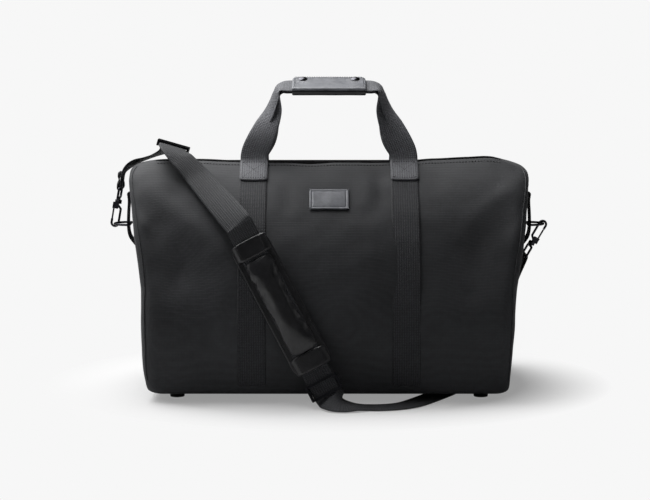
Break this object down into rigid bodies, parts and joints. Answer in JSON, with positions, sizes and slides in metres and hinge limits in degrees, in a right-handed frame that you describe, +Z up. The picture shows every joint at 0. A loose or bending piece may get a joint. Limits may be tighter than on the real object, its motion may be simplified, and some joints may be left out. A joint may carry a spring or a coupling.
{
  "type": "weekender bag",
  "caption": "Soft nylon travel bag with sewn web handles in a snap-over grip, a top zip, and a padded shoulder strap on swivel hooks.",
  "frame": {"origin": "on the floor under the middle of the bag, in the plane of its four feet", "axes": "+X along the bag's length to the viewer's right, -Y out of its front, +Z up"},
  "size_m": [0.6037, 0.3602, 0.4241],
  "materials": {
    "nylon": "coated nylon, dense plain weave",
    "webbing": "woven nylon webbing",
    "leather": "smooth black leather",
    "dark_metal": "gunmetal plating",
    "black_metal": "black plated zinc",
    "foot_rubber": "moulded rubber",
    "board": "stiff plastic sheet",
    "lining": "thin polyester lining and zip tape"
  },
  "bodies": {
    "root": {"back_band_left": "webbing", "back_band_right": "webbing", "back_panel": "nylon", "badge_patch": "leather", "base_board": "board", "base_panel": "nylon", "feet": "foot_rubber", "foot_rivets": "dark_metal", "front_band_left": "webbing", "front_band_right": "webbing", "front_panel": "nylon", "inner_pocket": "lining", "left_end_web": "webbing", "left_gusset": "nylon", "left_strap_eye": "black_metal", "left_zip_tab": "webbing", "right_end_web": "webbing", "right_gusset": "nylon", "right_strap_eye": "black_metal", "right_zip_tab": "webbing", "shoulder_strap": "webbing", "zip_back_flange": "lining", "zip_end_chain": "dark_metal", "zip_front_flange": "lining"},
    "handles": {"front_handle_web": "webbing", "back_handle_web": "webbing", "grip_wrap": "leather", "snap_studs": "dark_metal", "front_left_leg": "webbing", "front_right_leg": "webbing", "back_left_leg": "webbing", "back_right_leg": "webbing"},
    "grip_flap": {"grip_flap": "leather", "snap_caps": "dark_metal"},
    "zip_front": {"zip_front_tape": "lining", "zip_front_teeth": "dark_metal"},
    "zip_back": {"zip_back_tape": "lining", "zip_back_teeth": "dark_metal"},
    "zip_slider": {"zip_slider": "dark_metal"},
    "zip_pull": {"zip_pull": "dark_metal"},
    "right_ring": {"right_ring": "black_metal"},
    "left_ring": {"left_ring": "black_metal"},
    "right_claw": {"right_claw": "black_metal"},
    "left_claw": {"left_claw": "black_metal"},
    "right_gate": {"right_gate": "black_metal"},
    "left_gate": {"left_gate": "black_metal"},
    "shoulder_pad": {"shoulder_pad_base": "lining", "shoulder_pad_cover": "leather"},
    "lower_adjuster": {"lower_adjuster": "black_metal"},
    "upper_adjuster": {"upper_adjuster": "black_metal"}
  },
  "joints": [
    {"name": "handles_lean", "type": "hinge", "parent": "root", "child": "handles", "pos_m": [0, 0, 0.313], "axis": [1, 0, 0], "range_deg": [-12, 12], "stiffness_Nm_per_rad": 0.6, "deforming": ["front_left_leg", "front_right_leg", "back_left_leg", "back_right_leg"]},
    {"name": "grip_flap_open", "type": "hinge", "parent": "handles", "child": "grip_flap", "pos_m": [0, -0.02192, 0.40883], "axis": [1, 0, 0], "range_deg": [0, 150]},
    {"name": "zip_front_open", "type": "hinge", "parent": "root", "child": "zip_front", "pos_m": [0, -0.01215, 0.303], "axis": [1, 0, 0], "range_deg": [0, 85]},
    {"name": "zip_back_open", "type": "hinge", "parent": "root", "child": "zip_back", "pos_m": [0, 0.01215, 0.303], "axis": [-1, 0, 0], "range_deg": [0, 85]},
    {"name": "zip_slide", "type": "slide", "parent": "root", "child": "zip_slider", "axis": [-1, 0, 0], "range_m": [0, 0.417]},
    {"name": "zip_pull_lift", "type": "hinge", "parent": "zip_slider", "child": "zip_pull", "pos_m": [0.221, 0, 0.3075], "axis": [0, 1, 0], "range_deg": [0, 150]},
    {"name": "right_ring_tilt", "type": "hinge", "parent": "root", "child": "right_ring", "pos_m": [0.2739, 0, 0.222], "axis": [0, 1, 0], "range_deg": [0, 6]},
    {"name": "left_ring_tilt", "type": "hinge", "parent": "root", "child": "left_ring", "pos_m": [-0.2739, 0, 0.222], "axis": [0, 1, 0], "range_deg": [0, 6]},
    {"name": "right_claw_swivel", "type": "hinge", "parent": "root", "child": "right_claw", "pos_m": [0.28165, 0, 0.19732], "axis": [0.5, 0, 0.866], "range_deg": [-20, 20]},
    {"name": "left_claw_swivel", "type": "hinge", "parent": "root", "child": "left_claw", "pos_m": [-0.29095, 0, 0.25007], "axis": [-0.1736, 0, -0.9848], "range_deg": [-20, 20]},
    {"name": "right_gate_press", "type": "hinge", "parent": "right_claw", "child": "right_gate", "pos_m": [0.28856, 0, 0.19968], "axis": [0, -1, 0], "range_deg": [0, 18], "stiffness_Nm_per_rad": 0.02},
    {"name": "left_gate_press", "type": "hinge", "parent": "left_claw", "child": "left_gate", "pos_m": [-0.29663, 0, 0.24548], "axis": [0, -1, 0], "range_deg": [0, 18], "stiffness_Nm_per_rad": 0.02},
    {"name": "pad_slide", "type": "slide", "parent": "root", "child": "shoulder_pad", "axis": [0.4663, -0.1808, -0.866], "range_m": [-0.008, 0.008]},
    {"name": "lower_adjuster_slide", "type": "slide", "parent": "root", "child": "lower_adjuster", "axis": [0.4663, -0.1808, -0.866], "range_m": [-0.004, 0]},
    {"name": "upper_adjuster_slide", "type": "slide", "parent": "root", "child": "upper_adjuster", "axis": [0, -1, 0], "range_m": [-0.004, 0.004]}
  ]
}
